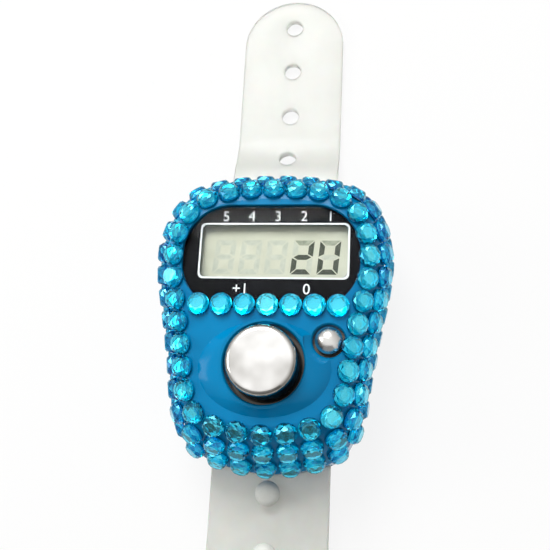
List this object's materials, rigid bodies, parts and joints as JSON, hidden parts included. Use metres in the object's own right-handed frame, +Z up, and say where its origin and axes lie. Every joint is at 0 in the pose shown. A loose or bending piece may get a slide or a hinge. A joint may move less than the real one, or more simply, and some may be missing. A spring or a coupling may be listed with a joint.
{
  "type": "finger tally counter",
  "caption": "Finger-worn electronic tally counter: blue shield-shaped case edged with rhinestones, display window, chrome count and reset buttons, silicone finger strap.",
  "frame": {"origin": "middle of the case, on the table it lies on", "axes": "+Z up out of the face, +Y along the strap towards the display end, +X to the right"},
  "size_m": [0.033, 0.1114, 0.0179],
  "materials": {
    "blue_abs": "glossy moulded ABS",
    "clear_acrylic": "clear polished acrylic",
    "black_print": "black ink on film",
    "polariser_film": "grey polarising film",
    "display_glass": "clear glass",
    "reflector_film": "silvery film",
    "white_plastic": "moulded",
    "conductive_rubber": "layered elastomer",
    "board_laminate": "solder mask on laminate",
    "black_epoxy": "cured resin",
    "capacitor_body": "chip body",
    "cell_steel": "nickel plated",
    "contact_brass": "spring brass",
    "chrome_plate": "bright plating on plastic",
    "dome_rubber": "moulded silicone",
    "carbon_rubber": "carbon loaded",
    "screw_steel": "zinc plated",
    "clear_silicone": "milky translucent silicone",
    "stone_acrylic": "faceted, foil backed"
  },
  "bodies": {
    "case": {"front_housing": "blue_abs", "rear_cover": "blue_abs", "window_lens": "clear_acrylic", "window_mask": "black_print", "lcd_front_polariser": "polariser_film", "lcd_front_glass": "display_glass", "lcd_rear_glass": "display_glass", "lcd_reflector": "reflector_film", "lcd_support_frame": "white_plastic", "zebra_strip": "conductive_rubber", "circuit_board": "board_laminate", "chip_blob": "black_epoxy", "chip_capacitors": "capacitor_body", "button_cell": "cell_steel", "cell_clip": "cell_steel", "cell_contact": "contact_brass", "count_rubber_dome": "dome_rubber", "reset_rubber_dome": "dome_rubber", "case_screws": "screw_steel", "board_screws": "screw_steel", "strap_hole_band": "clear_silicone", "strap_stud_band": "clear_silicone", "rim_stones": "stone_acrylic", "upper_side_stones": "stone_acrylic", "lower_side_stones": "stone_acrylic", "middle_stones": "stone_acrylic"},
    "count_button": {"count_button": "chrome_plate", "count_carbon_pill": "carbon_rubber"},
    "reset_button": {"reset_button": "chrome_plate", "reset_carbon_pill": "carbon_rubber"}
  },
  "joints": [
    {"name": "count_press", "type": "slide", "parent": "case", "child": "count_button", "axis": [0, 0, -1], "range_m": [0, 0.00095], "stiffness_N_per_m": 900, "springref_m": -0.0006, "deforming": ["count_rubber_dome"]},
    {"name": "reset_press", "type": "slide", "parent": "case", "child": "reset_button", "axis": [0, 0, -1], "range_m": [0, 0.0007], "stiffness_N_per_m": 900, "springref_m": -0.0006, "deforming": ["reset_rubber_dome"]}
  ]
}
